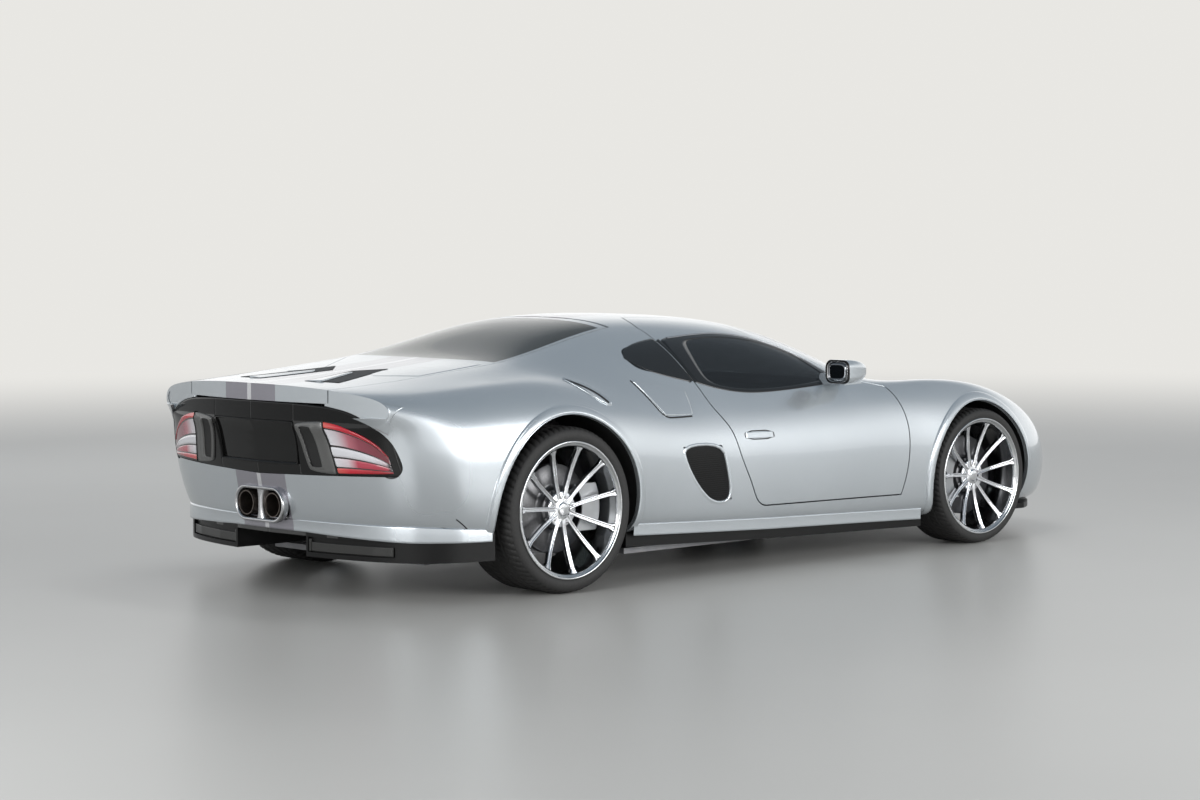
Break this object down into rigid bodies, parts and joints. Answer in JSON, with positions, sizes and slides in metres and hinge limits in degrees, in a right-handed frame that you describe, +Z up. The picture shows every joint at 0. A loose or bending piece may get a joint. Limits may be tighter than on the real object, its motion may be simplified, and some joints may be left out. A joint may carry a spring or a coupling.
{
  "type": "mid-engined sports coupe",
  "caption": "Low silver two-seat coupe with opening doors, bonnet and engine lid, steered front wheels and grey centre stripes.",
  "frame": {"origin": "on the ground below the middle of the whole car", "axes": "+X ahead, +Y to the car's left, +Z up"},
  "size_m": [4.591, 2.0586, 1.1335],
  "materials": {
    "silver_paint": "metallic silver paint under a clear coat",
    "smoked_glass": "smoked safety glass",
    "clear_glass": "clear lamp cover",
    "floor_metal": "bare sheet, satin",
    "liner_plastic": "moulded, matt",
    "black_trim": "satin black",
    "gloss_black": "high gloss",
    "lamp_red": "clear red lens",
    "mesh_black": "fine mesh, matt",
    "exhaust_steel": "brushed, browned inside",
    "bright_metal": "brushed",
    "engine_metal": "cast, matt",
    "seat_leather": "black leather",
    "dash_plastic": "grained, matt",
    "chassis_steel": "black coated",
    "tyre_rubber": "black rubber",
    "polished_alloy": "polished",
    "caliper_metal": "silver-grey enamel"
  },
  "bodies": {
    "bodyshell": {"rear_quarter_right": "silver_paint", "rear_quarter_left": "silver_paint", "front_fender_right": "silver_paint", "front_fender_left": "silver_paint", "front_bumper": "silver_paint", "rear_bumper": "silver_paint", "windscreen": "smoked_glass", "quarter_glass": "smoked_glass", "headlamps": "clear_glass", "roof_frame": "silver_paint", "cabin_floor": "floor_metal", "firewall": "floor_metal", "rear_bulkhead": "floor_metal", "front_arch_liners": "liner_plastic", "rear_arch_liners": "liner_plastic", "side_skirts": "black_trim", "front_splitter": "black_trim", "rear_diffuser": "black_trim", "tail_panel": "gloss_black", "tail_lamps": "lamp_red", "front_grille": "mesh_black", "side_grilles": "mesh_black", "exhaust": "exhaust_steel", "exhaust_surround": "bright_metal", "engine_block": "engine_metal", "seat_right": "seat_leather", "seat_left": "seat_leather", "dashboard": "dash_plastic", "steering_wheel": "seat_leather", "front_suspension": "chassis_steel", "rear_suspension": "chassis_steel", "knuckle_rear_right": "caliper_metal", "knuckle_rear_left": "caliper_metal"},
    "right_door": {"door_right": "silver_paint", "door_glass_right": "smoked_glass", "mirror_right": "silver_paint"},
    "left_door": {"door_left": "silver_paint", "door_glass_left": "smoked_glass", "mirror_left": "silver_paint"},
    "front_lid": {"bonnet": "silver_paint"},
    "rear_lid": {"engine_lid": "silver_paint", "rear_glass": "smoked_glass", "deck_vents": "gloss_black"},
    "right_steering": {"knuckle_front_right": "caliper_metal"},
    "left_steering": {"knuckle_front_left": "caliper_metal"},
    "front_wheel_right": {"tyre_front_right": "tyre_rubber", "wheel_front_right": "polished_alloy"},
    "front_wheel_left": {"tyre_front_left": "tyre_rubber", "wheel_front_left": "polished_alloy"},
    "rear_wheel_right": {"tyre_rear_right": "tyre_rubber", "wheel_rear_right": "polished_alloy"},
    "rear_wheel_left": {"tyre_rear_left": "tyre_rubber", "wheel_rear_left": "polished_alloy"}
  },
  "joints": [
    {"name": "door_right_hinge", "type": "hinge", "parent": "bodyshell", "child": "right_door", "pos_m": [0.8855, -0.9, 0.495], "axis": [0, 0, 1], "range_deg": [0, 60]},
    {"name": "door_left_hinge", "type": "hinge", "parent": "bodyshell", "child": "left_door", "pos_m": [0.8855, 0.9, 0.495], "axis": [0, 0, -1], "range_deg": [0, 60]},
    {"name": "bonnet_hinge", "type": "hinge", "parent": "bodyshell", "child": "front_lid", "pos_m": [0.9615, 0, 0.77], "axis": [0, -1, 0], "range_deg": [0, 50]},
    {"name": "engine_lid_hinge", "type": "hinge", "parent": "bodyshell", "child": "rear_lid", "pos_m": [-0.6435, 0, 1.107], "axis": [0, 1, 0], "range_deg": [0, 50]},
    {"name": "steer_left", "type": "hinge", "parent": "bodyshell", "child": "left_steering", "pos_m": [1.3655, 0.79, 0.325], "axis": [0, 0, 1], "range_deg": [-32, 32]},
    {"name": "steer_right", "type": "hinge", "parent": "bodyshell", "child": "right_steering", "pos_m": [1.3655, -0.79, 0.325], "axis": [0, 0, 1], "range_deg": [-32, 32]},
    {"name": "wheel_front_right_spin", "type": "hinge", "parent": "right_steering", "child": "front_wheel_right", "pos_m": [1.3655, -0.8, 0.325], "axis": [0, 1, 0], "continuous": true},
    {"name": "wheel_front_left_spin", "type": "hinge", "parent": "left_steering", "child": "front_wheel_left", "pos_m": [1.3655, 0.8, 0.325], "axis": [0, 1, 0], "continuous": true},
    {"name": "wheel_rear_right_spin", "type": "hinge", "parent": "bodyshell", "child": "rear_wheel_right", "pos_m": [-1.3445, -0.8, 0.352], "axis": [0, 1, 0], "continuous": true},
    {"name": "wheel_rear_left_spin", "type": "hinge", "parent": "bodyshell", "child": "rear_wheel_left", "pos_m": [-1.3445, 0.8, 0.352], "axis": [0, 1, 0], "continuous": true}
  ],
  "couplings": [
    {"joint": "steer_right", "follows": "steer_left", "ratio": 1}
  ]
}
